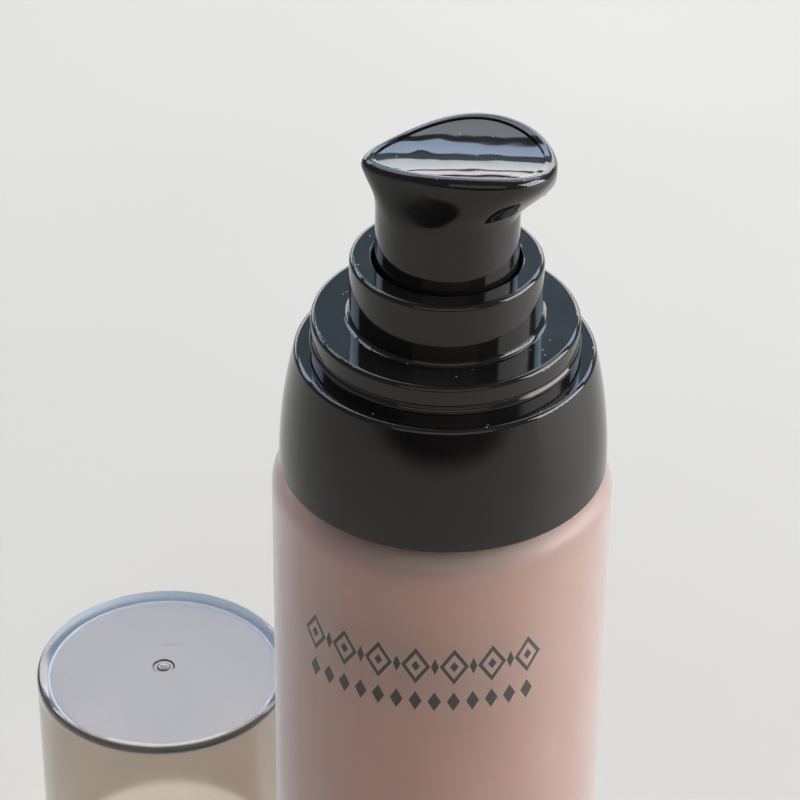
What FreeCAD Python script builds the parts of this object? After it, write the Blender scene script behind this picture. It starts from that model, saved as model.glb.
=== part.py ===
"""Foundation bottle with a cream pump and a lift-off overcap.

Units are millimetres. The origin is on the bottle's axis at its base and +Z is up.
The bottle's front (the printed side) faces -Y and the pump's outlet points to +X.
The overcap stands on its mouth beside the bottle.
"""
import FreeCAD, Part
import math
import os

from FreeCAD import Vector

os.makedirs("parts", exist_ok=True)

# ---------------------------------------------------------------- driving dimensions

# glass bottle
BOTTLE_R = 18.0
BOTTLE_WALL = 2.8
BOTTLE_FOOT_ROUND = 1.6
PUSH_UP_R = 14.0
PUSH_UP_H = 0.9
GLASS_FLOOR_Z = 5.6
FLOOR_ROUND = 3.0
SHOULDER_Z = 77.6
SHOULDER_ROUND = 2.6
SHOULDER_GLASS = 3.4
NECK_R = 10.8
NECK_BORE_R = 8.4
NECK_TOP_Z = 91.5
FILL_LEVEL_Z = 73.6

# screw thread between the neck and the closure
THREAD_PITCH = 3.18
THREAD_TURNS = 1.5
NECK_THREAD_R = 11.8
NECK_THREAD_Z = 82.4
CLOSURE_THREAD_R = 11.15
THREAD_ROOT_WIDTH = 1.25
THREAD_CREST_WIDTH = 0.6

# gloss collar shell
SHELL_Z = 78.0
SHELL_BASE_R = 17.2
SHELL_MID_R = 16.78
SHELL_MID_Z = 85.0
LEDGE_R = 15.5
LEDGE_Z = 91.8
SHELL_WALL = 1.2
RING_R = 13.83
PLATEAU_Z = 95.7
BEAD_R = 13.98
BEAD_Z = 92.85
CHIMNEY_R = 9.88
CHIMNEY_TOP_Z = 102.6
CHIMNEY_WALL = 1.15
CHIMNEY_HOLE_R = 7.61

# threaded closure inside the shell
CLOSURE_R = 13.0
CLOSURE_BORE_R = 12.15
CLOSURE_Z = 79.2
WEB_Z = 93.4
WEB_TOP_Z = 94.5
WEB_HOLE_R = 6.3

# pump cylinder that hangs in the neck
GASKET_Z = NECK_TOP_Z + 0.05
GASKET_T = 0.9
FLANGE_R = 10.3
FLANGE_Z = GASKET_Z + GASKET_T
FLANGE_TOP_Z = WEB_Z - 0.05
BARREL_R = 5.9
BARREL_TOP_R = 5.75
BARREL_TOP_Z = 96.2
BARREL_Z = 79.0
CYLINDER_R = 4.6
CYLINDER_FLOOR_Z = 80.4
TAIL_R = 3.1
TAIL_TOP_Z = 76.6
TAIL_Z = 70.5
BALL_CHAMBER_R = 1.95
BALL_SEAT_Z = 76.0
BALL_SEAT_R = 1.0
BALL_LIP_R = 1.3
BALL_LIP_Z = 79.9
BALL_R = 1.5
TUBE_R = 1.75
TUBE_BORE_R = 1.15
TUBE_TOP_Z = 75.0
TUBE_Z = 7.6

# moving works
ROD_R = 1.5
ROD_FLANGE_R = 3.9
ROD_FLANGE_Z = 89.9
ROD_FLANGE_TOP_Z = 90.7
ROD_TOP_Z = 99.5
STEM_R = 2.3
STEM_Z = 94.6
STEM_TOP_Z = 108.3
STEM_FOOT_R = 3.0
GUIDE_R = 2.36
PISTON_R = 4.56
SPRING_R = 3.35
SPRING_WIRE_R = 0.28
SPRING_COILS = 6.5

# actuator
SKIRT_R = 7.3
SKIRT_BORE_R = 6.15
SKIRT_Z = 99.5
SOCKET_R = 3.6
SOCKET_BORE_R = 2.36
SOCKET_Z = 102.2
CAVITY_TOP_Z = 108.0
PAD_SIDE_Z = 112.9
# left end, widest at, right end, half width, how far the left end and the right end are drawn in
PAD = (-8.68, 2.9, 10.75, 7.3, 0.36, 0.0)
ROUND = (-SKIRT_R, 0.0, SKIRT_R, SKIRT_R, 0.0, 0.0)
HEAD_SECTIONS = (
    (108.6, ROUND),
    (109.5, (-7.36, 0.08, 7.9, 7.3, 0.0, 0.1)),
    (110.6, (-7.66, 0.8, 9.85, 7.31, 0.09, 0.4)),
    (PAD_SIDE_Z, PAD),
    (PAD_SIDE_Z + 2.2, PAD),
    (PAD_SIDE_Z + 4.4, PAD),
)
PAD_TROUGH_Z = 114.3
TROUGH_R = 20.0
PAD_ARCH_R = 110.0
RIM_ROUND = 0.85
RIM_WIDTH = 1.25
RIM_DEPTH = 0.22
NOZZLE_TILT = math.radians(33.0)
NOZZLE_EXIT = Vector(9.55, 0.0, 110.9)
NOZZLE_R = 1.05
NOZZLE_LENGTH = 3.4
OUTLET_R = 0.45

# overcap, standing on its mouth beside the bottle
CAP_CENTRE = Vector(-32.9, 22.8, 0.0)
CAP_R = 15.1
CAP_BORE_R = 13.9
CAP_HEIGHT = 30.1
CAP_TOP_T = 1.5
CAP_GROOVE_R = 14.06
CAP_GROOVE_Z = 1.05
GATE_R = 0.85
GATE_H = 0.3
GATE_DISH_R = 1.35


# ---------------------------------------------------------------- helpers

def turned(*path):
    """A solid of revolution. The path is (r, z) corners; a pair of corners is an arc through the first."""
    edges = []
    start = Vector(path[0][0], 0, path[0][1])
    last = start
    for step in path[1:]:
        if isinstance(step[0], tuple):
            mid = Vector(step[0][0], 0, step[0][1])
            end = Vector(step[1][0], 0, step[1][1])
            edges.append(Part.Arc(last, mid, end).toShape())
        else:
            end = Vector(step[0], 0, step[1])
            edges.append(Part.makeLine(last, end))
        last = end
    if (last - start).Length > 1e-6:
        edges.append(Part.makeLine(last, start))
    face = Part.Face(Part.Wire(edges))
    solid = face.revolve(Vector(0, 0, 0), Vector(0, 0, 1), 360)
    return solid


def disc(radius, z_low, z_high):
    """An upright cylinder on the main axis."""
    return Part.makeCylinder(radius, z_high - z_low, Vector(0, 0, z_low))


def rim_edges(solid, rims):
    """The circular edges round the main axis that have the given (r, z)."""
    found = []
    for edge in solid.Edges:
        curve = edge.Curve
        if not isinstance(curve, Part.Circle):
            continue
        if math.hypot(curve.Center.x, curve.Center.y) > 1e-4:
            continue
        for radius, z in rims:
            if abs(curve.Radius - radius) < 1e-3 and abs(curve.Center.z - z) < 1e-3:
                found.append(edge)
    return found


def rounded(solid, *rounds):
    """Rounds circular edges. Each round is (fillet radius, r, z)."""
    for fillet, radius, z in rounds:
        edges = rim_edges(solid, [(radius, z)])
        solid = solid.makeFillet(fillet, edges)
    return solid


def rod_between(start, end, radius):
    """A round rod between two points."""
    span = end - start
    return Part.makeCylinder(radius, span.Length, start, span)


def thread(root_r, crest_r, z_start, turns):
    """A right-handed screw ridge that stands from root_r to crest_r, in or out."""
    helix = Part.makeHelix(THREAD_PITCH, THREAD_PITCH * turns, root_r)
    half_root = THREAD_ROOT_WIDTH / 2
    half_crest = THREAD_CREST_WIDTH / 2
    section = Part.makePolygon([
        Vector(root_r, 0, -half_root),
        Vector(crest_r, 0, -half_crest),
        Vector(crest_r, 0, half_crest),
        Vector(root_r, 0, half_root),
        Vector(root_r, 0, -half_root),
    ])
    ridge = Part.Wire(helix).makePipeShell([section], True, True)
    ridge.translate(Vector(0, 0, z_start))
    return ridge


def save(name, shape):
    """Writes one piece as a STEP file."""
    shape = shape.removeSplitter()
    solids = shape.Solids
    if len(solids) != 1 or not solids[0].isValid():
        print("check", name, len(solids), [s.isValid() for s in solids])
    solids[0].exportStep("parts/" + name + ".step")
    print(name, round(solids[0].Volume, 2))


# ---------------------------------------------------------------- bottle and contents

def glass_bottle():
    inner_r = BOTTLE_R - BOTTLE_WALL
    inner_top = SHOULDER_Z - SHOULDER_GLASS
    arc = math.sqrt(0.5)
    slope_r = NECK_BORE_R + 1.6
    outside = turned(
        (0, PUSH_UP_H),
        (PUSH_UP_R - 1.5, PUSH_UP_H),
        (PUSH_UP_R, 0),
        (BOTTLE_R - BOTTLE_FOOT_ROUND, 0),
        ((BOTTLE_R - BOTTLE_FOOT_ROUND * (1 - arc), BOTTLE_FOOT_ROUND * (1 - arc)),
         (BOTTLE_R, BOTTLE_FOOT_ROUND)),
        (BOTTLE_R, SHOULDER_Z - SHOULDER_ROUND),
        ((BOTTLE_R - SHOULDER_ROUND * (1 - arc), SHOULDER_Z - SHOULDER_ROUND * (1 - arc)),
         (BOTTLE_R - SHOULDER_ROUND, SHOULDER_Z)),
        (NECK_R + 0.6, SHOULDER_Z),
        ((NECK_R + 0.6 * (1 - arc), SHOULDER_Z + 0.6 * (1 - arc)), (NECK_R, SHOULDER_Z + 0.6)),
        (NECK_R, NECK_TOP_Z),
        (0, NECK_TOP_Z),
    )
    hollow = turned(
        (0, GLASS_FLOOR_Z),
        (inner_r - FLOOR_ROUND, GLASS_FLOOR_Z),
        ((inner_r - FLOOR_ROUND * (1 - arc), GLASS_FLOOR_Z + FLOOR_ROUND * (1 - arc)),
         (inner_r, GLASS_FLOOR_Z + FLOOR_ROUND)),
        (inner_r, inner_top - 1.5),
        (inner_r - 1.5, inner_top),
        (slope_r, inner_top + 0.6),
        (NECK_BORE_R, inner_top + 2.2),
        (NECK_BORE_R, NECK_TOP_Z + 1),
        (0, NECK_TOP_Z + 1),
    )
    # the transfer bead under the thread
    bead = turned(
        (NECK_R - 0.5, 79.2),
        (NECK_R, 79.2),
        ((NECK_R + 0.45, 79.9), (NECK_R, 80.6)),
        (NECK_R - 0.5, 80.6),
    )
    glass = outside.fuse(bead)
    glass = glass.cut(hollow)
    glass = rounded(glass, (0.5, NECK_R, NECK_TOP_Z), (0.5, NECK_BORE_R, NECK_TOP_Z))
    return glass.fuse(thread(NECK_R - 0.3, NECK_THREAD_R, NECK_THREAD_Z, THREAD_TURNS))


def foundation_fill():
    inner_r = BOTTLE_R - BOTTLE_WALL
    arc = math.sqrt(0.5)
    inner_top = SHOULDER_Z - SHOULDER_GLASS
    bevel_r = inner_r - (FILL_LEVEL_Z - (inner_top - 1.5))
    liquid = turned(
        (0, GLASS_FLOOR_Z),
        (inner_r - FLOOR_ROUND, GLASS_FLOOR_Z),
        ((inner_r - FLOOR_ROUND * (1 - arc), GLASS_FLOOR_Z + FLOOR_ROUND * (1 - arc)),
         (inner_r, GLASS_FLOOR_Z + FLOOR_ROUND)),
        (inner_r, inner_top - 1.5),
        (bevel_r, FILL_LEVEL_Z),
        (0, FILL_LEVEL_Z),
    )
    # the liquid stands clear of the tube and of the pump's tail
    liquid = liquid.cut(disc(TUBE_R + 0.35, TUBE_Z - 0.6, FILL_LEVEL_Z + 1))
    return liquid.cut(disc(TAIL_R + 0.4, TAIL_Z - 0.6, FILL_LEVEL_Z + 1))


# ---------------------------------------------------------------- collar

def collar_shell():
    in_mid = SHELL_MID_R - SHELL_WALL
    shell = turned(
        (SHELL_BASE_R, SHELL_Z),
        ((SHELL_MID_R, SHELL_MID_Z), (LEDGE_R, LEDGE_Z)),
        (RING_R, LEDGE_Z),
        (RING_R, BEAD_Z - 0.35),
        ((BEAD_R, BEAD_Z), (RING_R, BEAD_Z + 0.35)),
        ((RING_R - 0.12, BEAD_Z + 0.6), (RING_R, BEAD_Z + 0.85)),
        (RING_R, PLATEAU_Z),
        (CHIMNEY_R, PLATEAU_Z),
        (CHIMNEY_R, CHIMNEY_TOP_Z),
        (CHIMNEY_HOLE_R, CHIMNEY_TOP_Z),
        (CHIMNEY_HOLE_R, CHIMNEY_TOP_Z - CHIMNEY_WALL),
        (CHIMNEY_R - CHIMNEY_WALL, CHIMNEY_TOP_Z - CHIMNEY_WALL),
        (CHIMNEY_R - CHIMNEY_WALL, WEB_TOP_Z),
        (CLOSURE_R, WEB_TOP_Z),
        (CLOSURE_R, LEDGE_Z - SHELL_WALL),
        (LEDGE_R - SHELL_WALL, LEDGE_Z - SHELL_WALL),
        ((in_mid, SHELL_MID_Z), (SHELL_BASE_R - SHELL_WALL, SHELL_Z)),
    )
    return rounded(
        shell,
        (0.5, LEDGE_R, LEDGE_Z),
        (0.5, RING_R, PLATEAU_Z),
        (0.5, CHIMNEY_R, PLATEAU_Z),
        (0.5, CHIMNEY_R, CHIMNEY_TOP_Z),
        (0.25, CHIMNEY_HOLE_R, CHIMNEY_TOP_Z),
        (0.3, SHELL_BASE_R, SHELL_Z),
    )


def threaded_closure():
    body = turned(
        (CLOSURE_BORE_R, CLOSURE_Z),
        (CLOSURE_R, CLOSURE_Z),
        (CLOSURE_R, WEB_TOP_Z),
        (WEB_HOLE_R, WEB_TOP_Z),
        (WEB_HOLE_R, WEB_Z),
        (CLOSURE_BORE_R, WEB_Z),
    )
    # half a pitch away from the neck's ridge, so the two stay clear all the way off
    start = NECK_THREAD_Z - THREAD_PITCH / 2
    return body.fuse(thread(CLOSURE_BORE_R + 0.3, CLOSURE_THREAD_R, start, THREAD_TURNS))


# ---------------------------------------------------------------- pump, fixed works

def neck_gasket():
    ring = disc(FLANGE_R, GASKET_Z, FLANGE_Z)
    return ring.cut(disc(BARREL_R, GASKET_Z - 1, FLANGE_Z + 1))


def pump_housing():
    housing = turned(
        (0, TAIL_Z),
        (TAIL_R - 0.3, TAIL_Z),
        (TAIL_R, TAIL_TOP_Z),
        (BARREL_R, BARREL_Z),
        (BARREL_R, FLANGE_Z),
        (FLANGE_R, FLANGE_Z),
        (FLANGE_R, FLANGE_TOP_Z),
        (BARREL_TOP_R, FLANGE_TOP_Z),
        (BARREL_TOP_R, BARREL_TOP_Z),
        (0, BARREL_TOP_Z),
    )
    bores = [
        disc(CYLINDER_R, CYLINDER_FLOOR_Z, BARREL_TOP_Z + 1),
        disc(BALL_LIP_R, BALL_LIP_Z - 1, CYLINDER_FLOOR_Z + 1),
        disc(BALL_CHAMBER_R, BALL_SEAT_Z, BALL_LIP_Z),
        disc(BALL_SEAT_R, TUBE_TOP_Z - 1, BALL_SEAT_Z + 1),
        disc(TUBE_R, TAIL_Z - 1, TUBE_TOP_Z),
    ]
    for bore in bores:
        housing = housing.cut(bore)
    # the small hole that lets air back into the bottle
    vent = rod_between(Vector(3.5, 0, 88.0), Vector(7.0, 0, 88.0), 0.35)
    return housing.cut(vent)


def housing_cap():
    cap = turned(
        (GUIDE_R, 95.2),
        (CYLINDER_R, 95.2),
        (CYLINDER_R, BARREL_TOP_Z),
        (BARREL_TOP_R, BARREL_TOP_Z),
        (BARREL_TOP_R, 97.0),
        (GUIDE_R, 97.0),
    )
    return rounded(cap, (0.25, BARREL_TOP_R, 97.0))


def dip_tube():
    tube = disc(TUBE_R, TUBE_Z, TUBE_TOP_Z)
    tube = tube.cut(disc(TUBE_BORE_R, TUBE_Z - 1, TUBE_TOP_Z + 1))
    # the foot is cut on the slant so that it cannot seal against the glass
    wedge = Part.makeBox(20, 20, 4, Vector(-10, -10, -4))
    wedge.rotate(Vector(0, 0, 0), Vector(0, 1, 0), 25)
    wedge.translate(Vector(0, 0, TUBE_Z + 0.82))
    return tube.cut(wedge)


def inlet_ball():
    rest = BALL_SEAT_Z + math.sqrt(BALL_R ** 2 - BALL_SEAT_R ** 2) + 0.02
    return Part.makeSphere(BALL_R, Vector(0, 0, rest))


def return_spring():
    low = CYLINDER_FLOOR_Z + SPRING_WIRE_R + 0.02
    high = ROD_FLANGE_Z - SPRING_WIRE_R - 0.02
    closed_turn = 0.9
    per_turn = 16
    steps = int(SPRING_COILS * per_turn)
    open_turns = SPRING_COILS - 2 * closed_turn
    closed_rise = 2 * SPRING_WIRE_R * 1.03 * closed_turn
    points = []
    for step in range(steps + 1):
        turn = step / per_turn
        if turn < closed_turn:
            z = low + closed_rise * turn / closed_turn
        elif turn > SPRING_COILS - closed_turn:
            z = high - closed_rise * (SPRING_COILS - turn) / closed_turn
        else:
            share = (turn - closed_turn) / open_turns
            z = low + closed_rise + share * (high - low - 2 * closed_rise)
        angle = 2 * math.pi * turn
        points.append(Vector(SPRING_R * math.cos(angle), SPRING_R * math.sin(angle), z))
    centre_line = Part.BSplineCurve()
    centre_line.interpolate(points)
    path = Part.Wire(centre_line.toShape())
    section = Part.Wire(Part.makeCircle(SPRING_WIRE_R, points[0], centre_line.tangent(0)[0]))
    return path.makePipeShell([section], True, True)


# ---------------------------------------------------------------- pump, moving works

def piston_rod():
    rod = turned(
        (0, ROD_FLANGE_Z - 1.5),
        (2.5, ROD_FLANGE_Z - 1.5),
        (2.8, ROD_FLANGE_Z),
        (ROD_FLANGE_R, ROD_FLANGE_Z),
        (ROD_FLANGE_R, ROD_FLANGE_TOP_Z),
        (2.7, ROD_FLANGE_TOP_Z),
        (ROD_R, ROD_FLANGE_TOP_Z + 0.7),
        (ROD_R, ROD_TOP_Z),
        (0, ROD_TOP_Z),
    )
    # flutes that lead the cream past the piston and up into the stem
    for corner in range(3):
        angle = math.radians(120 * corner)
        x = (ROD_R + 0.25) * math.cos(angle)
        y = (ROD_R + 0.25) * math.sin(angle)
        flute = Part.makeCylinder(0.6, ROD_TOP_Z, Vector(x, y, ROD_FLANGE_TOP_Z + 1.6))
        rod = rod.cut(flute)
    return rod


def piston():
    top = 94.15
    low = 90.95
    hub_r = 2.25
    return turned(
        (ROD_R + 0.06, 91.5),
        (hub_r, 90.98),
        (hub_r + 0.35, 92.0),
        (3.75, 92.1),
        (4.15, low),
        (PISTON_R, low),
        (PISTON_R, low + 0.7),
        (PISTON_R - 0.3, low + 1.1),
        (PISTON_R - 0.3, top - 1.1),
        (PISTON_R, top - 0.7),
        (PISTON_R, top),
        (4.15, top),
        (3.75, 92.95),
        (hub_r, 92.95),
        (hub_r, 93.75),
        (ROD_R + 0.06, 93.75),
    )


def upper_stem():
    stem = turned(
        (ROD_R, STEM_Z),
        (STEM_FOOT_R, STEM_Z),
        (STEM_FOOT_R, STEM_Z + 0.5),
        (STEM_R, STEM_Z + 0.5),
        (STEM_R, STEM_TOP_Z),
        (ROD_R, STEM_TOP_Z),
    )
    return rounded(stem, (0.25, STEM_R, STEM_TOP_Z))


# ---------------------------------------------------------------- actuator

def head_outline(z, section, inset=0.0):
    """The head's outline at one height: round at the skirt, then drawn in at +X where it forms
    the spout, then egg-shaped at the pad, with a blunt point at -X and full and round at +X."""
    left, middle, right, half_width, point, nose = section
    points = []
    count = 20
    for step in range(count):
        angle = 2 * math.pi * step / count
        along = math.cos(angle)
        across = math.sin(angle)
        reach = right - middle if along > 0 else middle - left
        slim = 1.0 - (nose if along > 0 else point) * along ** 2
        wide = (half_width - inset) * across * slim
        points.append(Vector(middle + (reach - inset) * along, wide, z))
    curve = Part.BSplineCurve()
    curve.interpolate(points, True)
    return Part.Wire(curve.toShape())


def trough(z_centre):
    """The tool that hollows the pad along X for the finger, with its ends falling away a little."""
    ring = Part.makeTorus(PAD_ARCH_R + TROUGH_R, TROUGH_R)
    ring.rotate(Vector(0, 0, 0), Vector(1, 0, 0), 90)
    ring.translate(Vector(1.5, 0, z_centre - PAD_ARCH_R))
    return ring


def actuator():
    outlines = [head_outline(*section) for section in HEAD_SECTIONS]
    head = Part.makeLoft(outlines, True, False, False, 3)
    head = head.fuse(Part.Face(outlines[0]).extrude(Vector(0, 0, SKIRT_Z - HEAD_SECTIONS[0][0])))
    head = head.cut(trough(PAD_TROUGH_Z))
    rim = [edge for edge in head.Edges if edge.BoundBox.ZMax > 115 and edge.BoundBox.ZMin > 113.5]
    head = head.makeFillet(RIM_ROUND, rim)
    inner = Part.Face(head_outline(PAD_SIDE_Z, PAD, RIM_WIDTH))
    recess = inner.extrude(Vector(0, 0, 5)).common(trough(PAD_TROUGH_Z - RIM_DEPTH))
    head = head.cut(recess)
    cavity = disc(SKIRT_BORE_R, SKIRT_Z - 1, CAVITY_TOP_Z)
    cavity = cavity.cut(disc(SOCKET_R, SOCKET_Z, CAVITY_TOP_Z))
    # four thin ribs stiffen the skirt against the socket
    for quarter in range(4):
        rib = Part.makeBox(SKIRT_BORE_R, 0.8, 2.6, Vector(0, -0.4, CAVITY_TOP_Z - 2.6))
        rib.rotate(Vector(0, 0, 0), Vector(0, 0, 1), 45 + 90 * quarter)
        cavity = cavity.cut(rib)
    head = head.cut(cavity)
    head = head.cut(disc(SOCKET_BORE_R, SOCKET_Z - 1, STEM_TOP_Z + 0.3))
    outward = Vector(math.cos(NOZZLE_TILT), 0, -math.sin(NOZZLE_TILT))
    seat = NOZZLE_EXIT - outward * NOZZLE_LENGTH
    head = head.cut(rod_between(seat, NOZZLE_EXIT + outward * 3, NOZZLE_R))
    channel_start = Vector(0, 0, STEM_TOP_Z + 0.9)
    head = head.cut(disc(1.0, STEM_TOP_Z, channel_start.z + 0.5))
    return head.cut(rod_between(channel_start, seat, 0.9))


def nozzle_insert():
    outward = Vector(math.cos(NOZZLE_TILT), 0, -math.sin(NOZZLE_TILT))
    seat = NOZZLE_EXIT - outward * NOZZLE_LENGTH
    lip = NOZZLE_EXIT + outward * 0.3
    bush = rod_between(seat, lip, NOZZLE_R)
    bush = bush.cut(rod_between(seat - outward, lip + outward, OUTLET_R))
    mouth = Part.makeCone(OUTLET_R, NOZZLE_R - 0.35, 0.8, lip - outward * 0.8, outward)
    return bush.cut(mouth)


# ---------------------------------------------------------------- overcap

def overcap():
    roof = CAP_HEIGHT - CAP_TOP_T
    cap = turned(
        (CAP_BORE_R + 0.25, 0),
        (CAP_R - 0.15, 0),
        (CAP_R, 0.15),
        (CAP_R, CAP_HEIGHT),
        (GATE_DISH_R, CAP_HEIGHT),
        (GATE_DISH_R - 0.2, CAP_HEIGHT - 0.15),
        (0, CAP_HEIGHT - 0.15),
        (0, roof),
        (CAP_BORE_R, roof),
        (CAP_BORE_R, CAP_GROOVE_Z + 0.4),
        ((CAP_GROOVE_R, CAP_GROOVE_Z), (CAP_BORE_R, CAP_GROOVE_Z - 0.4)),
        (CAP_BORE_R, 0.25),
    )
    cap = rounded(cap, (0.55, CAP_R, CAP_HEIGHT), (0.6, CAP_BORE_R, roof))
    # the little dome left where the moulding was fed
    ball_r = (GATE_R ** 2 + GATE_H ** 2) / (2 * GATE_H)
    dome = Part.makeSphere(ball_r, Vector(0, 0, CAP_HEIGHT + GATE_H - 0.15 - ball_r))
    dome = dome.common(disc(GATE_R + 0.2, CAP_HEIGHT - 0.6, CAP_HEIGHT + 1))
    cap = cap.fuse(dome)
    cap.translate(CAP_CENTRE)
    return cap


# ---------------------------------------------------------------- write every piece

PIECES = {
    "glass_bottle": glass_bottle,
    "foundation_fill": foundation_fill,
    "collar_shell": collar_shell,
    "threaded_closure": threaded_closure,
    "neck_gasket": neck_gasket,
    "pump_housing": pump_housing,
    "housing_cap": housing_cap,
    "dip_tube": dip_tube,
    "inlet_ball": inlet_ball,
    "return_spring": return_spring,
    "piston_rod": piston_rod,
    "piston": piston,
    "upper_stem": upper_stem,
    "actuator": actuator,
    "nozzle_insert": nozzle_insert,
    "overcap": overcap,
}

for name, build in PIECES.items():
    save(name, build())
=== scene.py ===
import bpy
import math
from mathutils import Matrix, Vector


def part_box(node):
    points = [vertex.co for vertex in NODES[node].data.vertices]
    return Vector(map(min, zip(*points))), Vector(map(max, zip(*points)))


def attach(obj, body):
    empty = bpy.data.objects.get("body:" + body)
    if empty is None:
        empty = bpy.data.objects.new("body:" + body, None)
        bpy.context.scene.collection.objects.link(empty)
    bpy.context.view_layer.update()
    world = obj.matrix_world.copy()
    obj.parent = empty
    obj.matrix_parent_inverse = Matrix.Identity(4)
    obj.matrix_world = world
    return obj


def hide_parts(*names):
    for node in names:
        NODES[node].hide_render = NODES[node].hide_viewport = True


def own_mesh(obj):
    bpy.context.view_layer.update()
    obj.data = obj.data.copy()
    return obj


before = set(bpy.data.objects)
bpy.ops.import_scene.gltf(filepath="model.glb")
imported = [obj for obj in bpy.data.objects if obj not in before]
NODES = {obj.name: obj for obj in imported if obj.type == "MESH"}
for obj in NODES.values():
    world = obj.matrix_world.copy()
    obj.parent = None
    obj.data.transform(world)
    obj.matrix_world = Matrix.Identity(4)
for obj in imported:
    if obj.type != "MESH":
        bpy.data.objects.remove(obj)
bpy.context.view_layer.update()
MM = 0.001

# ---------------------------------------------------------------- camera

CAMERA_AT = Vector((0.0, -0.2697, 0.2684))
CAMERA_YAW = math.radians(-0.97)
CAMERA_PITCH = math.radians(34.23)
CAMERA_ROLL = math.radians(0.66)
LENS_MM = 141.4
SENSOR_MM = 36.0
CLIP_START = 0.01


def make_camera():
    data = bpy.data.cameras.new("camera")
    data.lens = LENS_MM
    data.sensor_width = SENSOR_MM
    data.clip_start = CLIP_START
    camera = bpy.data.objects.new("camera", data)
    bpy.context.collection.objects.link(camera)
    ahead = Vector((math.sin(CAMERA_YAW) * math.cos(CAMERA_PITCH),
                    math.cos(CAMERA_YAW) * math.cos(CAMERA_PITCH),
                    -math.sin(CAMERA_PITCH)))
    level = Vector((math.cos(CAMERA_YAW), -math.sin(CAMERA_YAW), 0.0))
    above = level.cross(ahead)
    right = level * math.cos(CAMERA_ROLL) + above * math.sin(CAMERA_ROLL)
    up = above * math.cos(CAMERA_ROLL) - level * math.sin(CAMERA_ROLL)
    turn = Matrix((right, up, -ahead)).transposed().to_4x4()
    camera.matrix_world = Matrix.Translation(CAMERA_AT) @ turn
    bpy.context.scene.camera = camera


make_camera()

# ---------------------------------------------------------------- node helpers


def srgb(r, g, b):
    """A colour given as 0-255 screen values, turned to linear light."""
    out = []
    for value in (r, g, b):
        v = value / 255.0
        out.append(v / 12.92 if v <= 0.04045 else ((v + 0.055) / 1.055) ** 2.4)
    return (out[0], out[1], out[2], 1.0)


class Shader:
    """A material with a Principled BSDF and short calls for the nodes that feed it."""

    def __init__(self, name, **sockets):
        self.material = bpy.data.materials.new(name)
        self.material.use_nodes = True
        self.tree = self.material.node_tree
        self.bsdf = self.tree.nodes["Principled BSDF"]
        for key, value in sockets.items():
            self.bsdf.inputs[key.replace("_", " ")].default_value = value
        self.coords = self.tree.nodes.new("ShaderNodeTexCoord").outputs["Object"]

    def node(self, kind, **props):
        made = self.tree.nodes.new(kind)
        for key, value in props.items():
            setattr(made, key, value)
        return made

    def put(self, value, socket):
        if isinstance(value, bpy.types.NodeSocket):
            self.tree.links.new(value, socket)
        else:
            socket.default_value = value

    def scaled(self, x, y, z):
        mapping = self.node("ShaderNodeMapping")
        self.put(self.coords, mapping.inputs["Vector"])
        mapping.inputs["Scale"].default_value = (x, y, z)
        return mapping.outputs["Vector"]

    def noise(self, scale, detail=3.0, rough=0.5, vector=None):
        made = self.node("ShaderNodeTexNoise")
        self.put(vector or self.coords, made.inputs["Vector"])
        made.inputs["Scale"].default_value = scale
        made.inputs["Detail"].default_value = detail
        made.inputs["Roughness"].default_value = rough
        return made.outputs["Fac"]

    def specks(self, scale):
        """Distance from the nearest of many scattered points."""
        made = self.node("ShaderNodeTexVoronoi")
        self.put(self.coords, made.inputs["Vector"])
        made.inputs["Scale"].default_value = scale
        made.inputs["Randomness"].default_value = 1.0
        return made.outputs["Distance"]

    def math(self, operation, a, b=0.0):
        made = self.node("ShaderNodeMath", operation=operation)
        self.put(a, made.inputs[0])
        self.put(b, made.inputs[1])
        return made.outputs[0]

    def times(self, first, *rest):
        for value in rest:
            first = self.math("MULTIPLY", first, value)
        return first

    def hypot(self, a, b):
        return self.math("SQRT", self.math("ADD", self.times(a, a), self.times(b, b)))

    def span(self, value, low, high, to_low=0.0, to_high=1.0):
        """A smooth step from to_low at low to to_high at high."""
        made = self.node("ShaderNodeMapRange", interpolation_type="SMOOTHSTEP")
        self.put(value, made.inputs["Value"])
        for key, number in (("From Min", low), ("From Max", high), ("To Min", to_low), ("To Max", to_high)):
            made.inputs[key].default_value = number
        return made.outputs[0]

    def mix(self, share, a, b):
        made = self.node("ShaderNodeMix", data_type="RGBA")
        self.put(share, made.inputs["Factor"])
        self.put(a, made.inputs[6])
        self.put(b, made.inputs[7])
        return made.outputs[2]

    def axes(self):
        made = self.node("ShaderNodeSeparateXYZ")
        self.put(self.coords, made.inputs[0])
        return made.outputs

    def geometry(self, output):
        return self.node("ShaderNodeNewGeometry").outputs[output]

    def facing_up(self):
        """How far the surface faces straight up, from -1 to 1."""
        parts = self.node("ShaderNodeSeparateXYZ")
        self.put(self.geometry("True Normal"), parts.inputs[0])
        return parts.outputs[2]

    def bump(self, height, strength, distance):
        made = self.node("ShaderNodeBump")
        made.inputs["Strength"].default_value = strength
        made.inputs["Distance"].default_value = distance
        self.put(height, made.inputs["Height"])
        self.put(made.outputs["Normal"], self.bsdf.inputs["Normal"])

    def feed(self, **sockets):
        for key, value in sockets.items():
            self.put(value, self.bsdf.inputs[key.replace("_", " ")])
        return self.material


def wear(name, material):
    """Puts a material on a CAD node."""
    mesh = NODES[name].data
    mesh.materials.clear()
    mesh.materials.append(material)


def add_object(name, data):
    made = bpy.data.objects.new(name, data)
    bpy.context.collection.objects.link(made)
    return made


def add_mesh(name, verts, faces, material):
    mesh = bpy.data.meshes.new(name)
    mesh.from_pydata(verts, [], faces)
    mesh.materials.append(material)
    return add_object(name, mesh)


# ---------------------------------------------------------------- materials

DUST_SCALE = 900.0
DUST_COLOUR = srgb(190, 195, 205)


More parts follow.
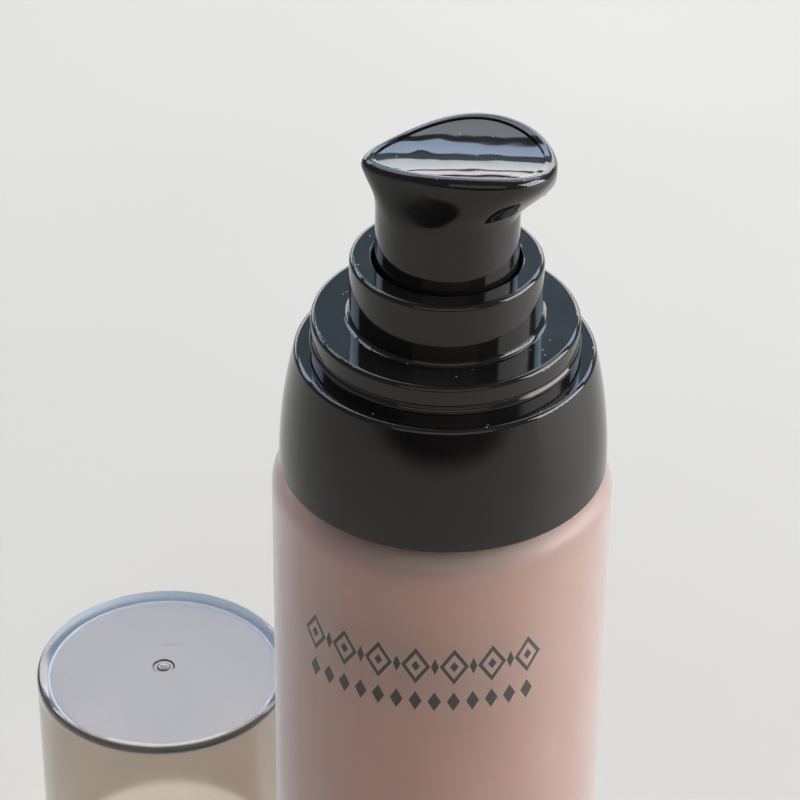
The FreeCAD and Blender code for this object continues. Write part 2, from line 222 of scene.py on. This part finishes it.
def gloss_black(name, ripple, ripple_scale, matte_under=0.0):
    """Glossy black moulding with faint flow waviness, handling haze and a few specks of dust."""
    s = Shader(name, Roughness=0.1, IOR=1.49, Specular_IOR_Level=0.55)
    haze = s.noise(90.0, 4.0, 0.6)
    tone = s.mix(s.span(haze, 0.35, 0.75), srgb(23, 22, 22), srgb(29, 28, 28))
    dot = s.span(s.specks(DUST_SCALE), 0.05, 0.12, 1.0, 0.0)
    patch = s.span(s.noise(260.0, 1.0), 0.5, 0.57)
    dust = s.times(dot, patch, s.span(s.facing_up(), 0.5, 0.8))
    tone = s.mix(s.times(dust, 0.55), tone, DUST_COLOUR)
    rough = s.span(haze, 0.3, 0.8, 0.05, 0.1)
    rough = s.math("ADD", rough, s.times(dust, 0.5))
    if matte_under > 0.0:
        # the underside at the left has a duller mould finish
        under = s.span(s.facing_up(), -0.45, 0.05, matte_under, 0.0)
        left = s.span(s.axes()[0], -1.0 * MM, 4.0 * MM, 1.0, 0.0)
        rough = s.math("ADD", rough, s.times(under, left))
    s.bump(s.noise(ripple_scale, 2.0), ripple, 0.0003)
    return s.feed(Base_Color=tone, Roughness=rough)


# the printed border, in millimetres on the glass: a lozenge's size is half its width and half its height
GLASS_R = 18.0
PRINT_TURN = math.radians(7.5)
PRINT_INNER_R = 17.6
UPPER_PITCH = 4.0
UPPER_Z = 64.0
UPPER_REACH = 13.65
LARGE_SIZE = (1.55, 2.35)
BETWEEN_SIZE = (0.42, 1.1)
LOWER_PITCH = 2.0
LOWER_Z = 59.4
LOWER_REACH = 12.9
SMALL_SIZE = (0.72, 1.3)
ROWS_PART_Z = 61.1
INK = srgb(46, 42, 38)
GLASS_CLEARNESS = 0.8


def printed_border(s):
    """1 where the border is inked: a row of outlined lozenges over a row of small solid ones."""
    x, y, z = s.axes()
    around = s.math("ARCTAN2", x, s.times(y, -1.0))
    arc = s.times(s.math("ADD", around, PRINT_TURN), GLASS_R)
    height = s.times(z, 1.0 / MM)
    outside = s.math("GREATER_THAN", s.hypot(x, y), PRINT_INNER_R * MM)

    def lozenges(pitch, middle, size, shift=0.0):
        """0 at the centre of each lozenge in a row of them, 1 on its outline."""
        across = s.math("DIVIDE", s.math("PINGPONG", s.math("ADD", arc, shift), pitch / 2), size[0])
        upward = s.math("DIVIDE", s.math("ABSOLUTE", s.math("SUBTRACT", height, middle)), size[1])
        return s.math("ADD", across, upward)

    large = lozenges(UPPER_PITCH, UPPER_Z, LARGE_SIZE)
    between = lozenges(UPPER_PITCH, UPPER_Z, BETWEEN_SIZE, UPPER_PITCH / 2)
    small = lozenges(LOWER_PITCH, LOWER_Z, SMALL_SIZE)
    # a large lozenge is a line just inside its outline, round a small solid heart
    off_line = s.math("ABSOLUTE", s.math("SUBTRACT", large, 0.84))
    ink = s.span(off_line, 0.11, 0.21, 1.0, 0.0)
    for shape, full, gone in ((large, 0.26, 0.34), (between, 0.92, 1.06), (small, 0.92, 1.06)):
        ink = s.math("MAXIMUM", ink, s.span(shape, full, gone, 1.0, 0.0))
    reach = s.span(height, ROWS_PART_Z - 0.1, ROWS_PART_Z + 0.1, LOWER_REACH, UPPER_REACH)
    printed = s.math("LESS_THAN", s.math("ABSOLUTE", arc), reach)
    return s.times(ink, printed, outside)


def frosted_glass():
    """Acid-etched glass, printed on the front with a plain geometric border."""
    s = Shader("frosted_glass", IOR=1.5, Transmission_Weight=GLASS_CLEARNESS,
               Sheen_Weight=0.8, Sheen_Roughness=0.45)
    ink = printed_border(s)
    grain = s.noise(2600.0, 2.0, 0.7)
    cloud = s.noise(60.0, 3.0, 0.5)
    tone = s.mix(s.span(cloud, 0.35, 0.7), srgb(242, 234, 230), srgb(234, 226, 222))
    tone = s.mix(ink, tone, INK)
    rough = s.span(grain, 0.3, 0.7, 0.36, 0.46)
    clear = s.span(ink, 0.0, 1.0, GLASS_CLEARNESS, 0.0)
    s.bump(grain, 0.12, 0.00006)
    return s.feed(Base_Color=tone, Roughness=rough, Transmission_Weight=clear)


def liquid():
    """Foundation: an opaque pink-beige cream, slightly streaked where it has settled."""
    s = Shader("foundation", Roughness=0.4, IOR=1.4)
    drift = s.noise(40.0, 3.0, 0.5, s.scaled(1.0, 1.0, 0.35))
    tone = s.mix(s.span(drift, 0.3, 0.75), srgb(224, 154, 124), srgb(214, 144, 115))
    s.bump(drift, 0.1, 0.0002)
    return s.feed(Base_Color=tone)


# places on the overcap
CAP_LOW, CAP_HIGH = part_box("overcap")
CAP_AT = (CAP_LOW + CAP_HIGH) / 2
CAP_WALL_R = 14.4 * MM
# height of the painted reflection band inside the wall under the top
PAINTED_REFLECTION_Z = (CAP_HIGH.z - 4.25 * MM, CAP_HIGH.z - 1.65 * MM)
# height of the painted dark shade line on the rounded top edge
PAINTED_EDGE_Z = (CAP_HIGH.z - 1.25 * MM, CAP_HIGH.z - 0.75 * MM)


def smoke_clear():
    """Clear smoke-tinted plastic, scuffed on top, with a painted pale blue reflection band inside under the
    top and a painted dark shade line along its rounded edge.
    """
    s = Shader("smoke_clear", IOR=1.49, Transmission_Weight=1.0)
    x, y, z = s.axes()
    haze = s.noise(70.0, 4.0, 0.6)
    tone = s.mix(s.span(haze, 0.3, 0.75), srgb(210, 201, 191), srgb(203, 194, 184))
    scuff = s.noise(220.0, 3.0, 0.7, s.scaled(1.0, 5.0, 1.0))
    rough = s.math("ADD", 0.1, s.times(s.span(scuff, 0.6, 0.75), 0.12))
    s.bump(haze, 0.05, 0.0002)
    radius = s.hypot(s.math("SUBTRACT", x, CAP_AT.x), s.math("SUBTRACT", y, CAP_AT.y))
    # painted reflection: a pale blue band on the inside of the wall under the top, standing in for light
    # reflected inside the clear wall
    painted_reflection_band = s.times(s.span(z, *PAINTED_REFLECTION_Z), s.geometry("Backfacing"),
                   s.span(s.facing_up(), 0.3, 0.8, 1.0, 0.0),
                   s.math("GREATER_THAN", radius, CAP_WALL_R))
    tone = s.mix(painted_reflection_band, tone, srgb(205, 219, 242))
    # painted shade: a dark bluish line all round the rounded top edge, where the clear edge looks dark
    painted_dark_edge = s.times(s.span(z, *PAINTED_EDGE_Z), s.span(s.facing_up(), 0.8, 0.97, 1.0, 0.0))
    tone = s.mix(s.times(painted_dark_edge, 0.9), tone, srgb(40, 44, 60))
    # the painted reflection band and the painted dark edge line are also made less clear, so their painted
    # colour shows
    cloud = s.math("MAXIMUM", s.times(painted_reflection_band, 0.85), s.times(painted_dark_edge, 0.6))
    return s.feed(Base_Color=tone, Roughness=rough, Transmission_Weight=s.math("SUBTRACT", 1.0, cloud))


def moulded(name, light, dark, rough, transmission=0.0):
    """Plain injection-moulded plastic or rubber with a fine satin texture."""
    s = Shader(name, Transmission_Weight=transmission, IOR=1.5)
    grain = s.noise(960.0, 3.0, 0.6)
    cloud = s.noise(160.0, 2.0)
    tone = s.mix(s.span(cloud, 0.3, 0.7), light, dark)
    s.bump(grain, 0.2, 0.00003)
    return s.feed(Base_Color=tone, Roughness=s.span(grain, 0.3, 0.7, rough - 0.06, rough + 0.08))


def drawn_steel(name):
    s = Shader(name, Metallic=1.0)
    lines = s.noise(900.0, 4.0, 0.6, s.scaled(1.0, 1.0, 6.0))
    tone = s.mix(s.span(lines, 0.3, 0.7), srgb(205, 205, 208), srgb(170, 171, 175))
    s.bump(lines, 0.1, 0.00002)
    return s.feed(Base_Color=tone, Roughness=s.span(lines, 0.3, 0.7, 0.16, 0.3))


# node, material, light tone, dark tone, roughness, transmission
MOULDINGS = (
    ("nozzle_insert", "black_insert", (34, 30, 28), (26, 24, 23), 0.3, 0.0),
    ("threaded_closure", "black_closure", (40, 39, 38), (32, 31, 31), 0.42, 0.0),
    ("neck_gasket", "foam_seal", (224, 222, 214), (210, 208, 199), 0.7, 0.0),
    ("piston", "soft_piston", (216, 222, 226), (200, 208, 214), 0.45, 0.0),
    ("pump_housing", "natural_housing", (226, 226, 220), (214, 214, 208), 0.35, 0.35),
    ("housing_cap", "white_cap", (236, 236, 232), (224, 224, 220), 0.35, 0.0),
    ("piston_rod", "white_rod", (232, 232, 228), (220, 220, 216), 0.35, 0.0),
    ("upper_stem", "white_stem", (234, 234, 230), (224, 224, 219), 0.3, 0.0),
    ("dip_tube", "clear_tube", (228, 232, 234), (216, 221, 224), 0.25, 0.7),
)


def dress_nodes():
    wear("collar_shell", gloss_black("black_gloss", 0.05, 140.0))
    wear("actuator", gloss_black("black_pad", 0.85, 120.0, 0.35))
    wear("glass_bottle", frosted_glass())
    wear("foundation_fill", liquid())
    wear("overcap", smoke_clear())
    NODES["overcap"].visible_shadow = False
    for node, name, light, dark, rough, transmission in MOULDINGS:
        wear(node, moulded(name, srgb(*light), srgb(*dark), rough, transmission))
    steel = drawn_steel("drawn_steel")
    wear("inlet_ball", steel)
    wear("return_spring", steel)


dress_nodes()

# ---------------------------------------------------------------- return spring

SPRING_FOOT = 80.4 * MM
SPRING_HEAD = 89.9 * MM
SPRING_R = 3.35 * MM
WIRE_R = 0.28 * MM
WIRE_SHARE = 0.97
COILS = 6.5
END_TURNS = 0.75
WIRE_STEPS = 320
WIRE_SIDES = 12


def coil_height(share):
    """Height of the wire's centre: the first and last three quarters of a turn are closed coils."""
    turns = share * COILS
    low = SPRING_FOOT + WIRE_R
    high = SPRING_HEAD - WIRE_R
    end_rise = 2.0 * WIRE_R * 0.75
    if turns < END_TURNS:
        return low + end_rise * turns / END_TURNS
    if turns > COILS - END_TURNS:
        return high - end_rise * (COILS - turns) / END_TURNS
    run = (turns - END_TURNS) / (COILS - 2 * END_TURNS)
    return low + end_rise + run * (high - low - 2 * end_rise)


def spring_piece(material):
    """A swept round wire, so the coil reads as drawn steel in close views."""
    verts = []
    faces = []
    for i in range(WIRE_STEPS + 1):
        share = i / WIRE_STEPS
        angle = 2 * math.pi * COILS * share
        out = Vector((math.cos(angle), math.sin(angle), 0.0))
        centre = out * SPRING_R + Vector((0.0, 0.0, coil_height(share)))
        for k in range(WIRE_SIDES):
            turn = 2 * math.pi * k / WIRE_SIDES
            swing = out * math.cos(turn) + Vector((0.0, 0.0, math.sin(turn)))
            verts.append(tuple(centre + swing * WIRE_R * WIRE_SHARE))
    for i in range(WIRE_STEPS):
        for k in range(WIRE_SIDES):
            a = i * WIRE_SIDES + k
            b = i * WIRE_SIDES + (k + 1) % WIRE_SIDES
            faces.append((a, b, b + WIRE_SIDES, a + WIRE_SIDES))
    faces.append(tuple(range(WIRE_SIDES - 1, -1, -1)))
    faces.append(tuple(WIRE_STEPS * WIRE_SIDES + k for k in range(WIRE_SIDES)))
    piece = add_mesh("coil_spring", verts, faces, material)
    piece.data.polygons.foreach_set("use_smooth", [True] * len(piece.data.polygons))
    return piece


def make_spring():
    spring = spring_piece(drawn_steel("spring_steel"))
    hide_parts("return_spring")
    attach(spring, "pump")
    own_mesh(spring)


make_spring()

# ---------------------------------------------------------------- stage and light

FLOOR_HALF = 8.0
FLAG_Y = -0.215
FLAG_HALF_WIDE = 0.5
FLAG_TALL = 0.12
FLAG_FOOT_FADE = (0.016, 0.05)
FLAG_SIDE_FADE = (0.08, 0.4)


def make_floor():
    s = Shader("floor_matte", Roughness=0.55)
    cloud = s.noise(6.0, 2.0)
    tone = s.mix(s.span(cloud, 0.3, 0.7), srgb(191, 184, 173), srgb(196, 190, 179))
    corners = [(x * FLOOR_HALF, y * FLOOR_HALF, 0.0) for x, y in ((-1, -1), (1, -1), (1, 1), (-1, 1))]
    add_mesh("floor", corners, [(0, 1, 2, 3)], s.feed(Base_Color=tone))


def make_flag():
    """A black card in front of the object, unseen by the camera, that puts painted shade into the glossy
    reflections where the floor in front is darker.
    """
    # painted shade: a near-black sheet that only glossy reflections see
    s = Shader("painted_shade_card", Roughness=0.9, Specular_IOR_Level=0.0)
    shade_card_noise = s.noise(300.0, 2.0)
    x, y, z = s.axes()
    # it fades out towards its foot and its sides
    soft = s.times(s.span(z, *FLAG_FOOT_FADE), s.span(s.math("ABSOLUTE", x), *FLAG_SIDE_FADE, 1.0, 0.0))
    material = s.feed(Base_Color=s.mix(shade_card_noise, srgb(12, 12, 12), srgb(20, 20, 20)), Alpha=soft)
    corners = [(side * FLAG_HALF_WIDE, FLAG_Y, up * FLAG_TALL)
               for side, up in ((-1, 0), (1, 0), (1, 1), (-1, 1))]
    flag = add_mesh("flag", corners, [(0, 1, 2, 3)], material)
    flag.visible_camera = False
    flag.visible_diffuse = False
    flag.visible_transmission = False
    flag.visible_shadow = False


LIGHT_AIM = Vector((0.0, 0.0, 0.1))
WORLD_COLOUR = (0.80, 0.83, 0.90, 1.0)
WORLD_STRENGTH = 0.21

# name, azimuth, low and high elevation in degrees, width and distance in metres, radiance, colour
PANELS = (
    ("horizon", 0.0, 1.0, 11.0, 2.4, 1.7, 3.2, (1.0, 0.93, 0.95)),
    ("horizon_above", -3.0, 14.0, 27.0, 2.4, 1.7, 4.4, (0.9, 0.95, 1.0)),
    ("far_wall", 0.0, 28.0, 33.5, 2.4, 1.2, 0.45, (0.45, 0.8, 1.0)),
    ("window_low", -4.0, 34.5, 45.0, 4.4, 2.2, 5.3, (0.58, 0.74, 1.0)),
    ("window_high", -2.0, 51.0, 70.0, 1.8, 1.0, 3.0, (0.86, 0.93, 1.0)),
    ("room", 180.0, 6.0, 40.0, 2.4, 1.8, 0.7, (1.0, 0.9, 0.8)),
    ("side_window", 88.0, 2.0, 36.0, 1.2, 1.4, 7.6, (1.0, 0.98, 0.96)),
)


def panel(name, azimuth, low, high, width, distance, radiance, colour):
    """A soft light panel seen from the bottle between two elevations, given its brightness."""
    tilt = math.radians((low + high) / 2)
    turn = math.radians(azimuth)
    way = Vector((math.sin(turn) * math.cos(tilt), math.cos(turn) * math.cos(tilt), math.sin(tilt)))
    at = LIGHT_AIM + way * distance
    data = bpy.data.lights.new(name, "AREA")
    data.shape = "RECTANGLE"
    data.size = width
    data.size_y = 2 * distance * math.tan(math.radians((high - low) / 2))
    # a diffuse emitter of radiance L and area A gives out pi * L * A watts
    data.energy = math.pi * radiance * data.size * data.size_y
    data.color = colour
    lamp = add_object(name, data)
    lamp.location = at
    lamp.rotation_euler = (LIGHT_AIM - at).to_track_quat("-Z", "Y").to_euler()


def make_light():
    world = bpy.data.worlds.new("world")
    bpy.context.scene.world = world
    world.use_nodes = True
    sky = world.node_tree.nodes["Background"]
    sky.inputs["Color"].default_value = WORLD_COLOUR
    sky.inputs["Strength"].default_value = WORLD_STRENGTH
    for row in PANELS:
        panel(*row)


make_floor()
make_flag()
make_light()
bpy.context.scene.view_settings.view_transform = "Standard"
bpy.context.scene.view_settings.look = "None"
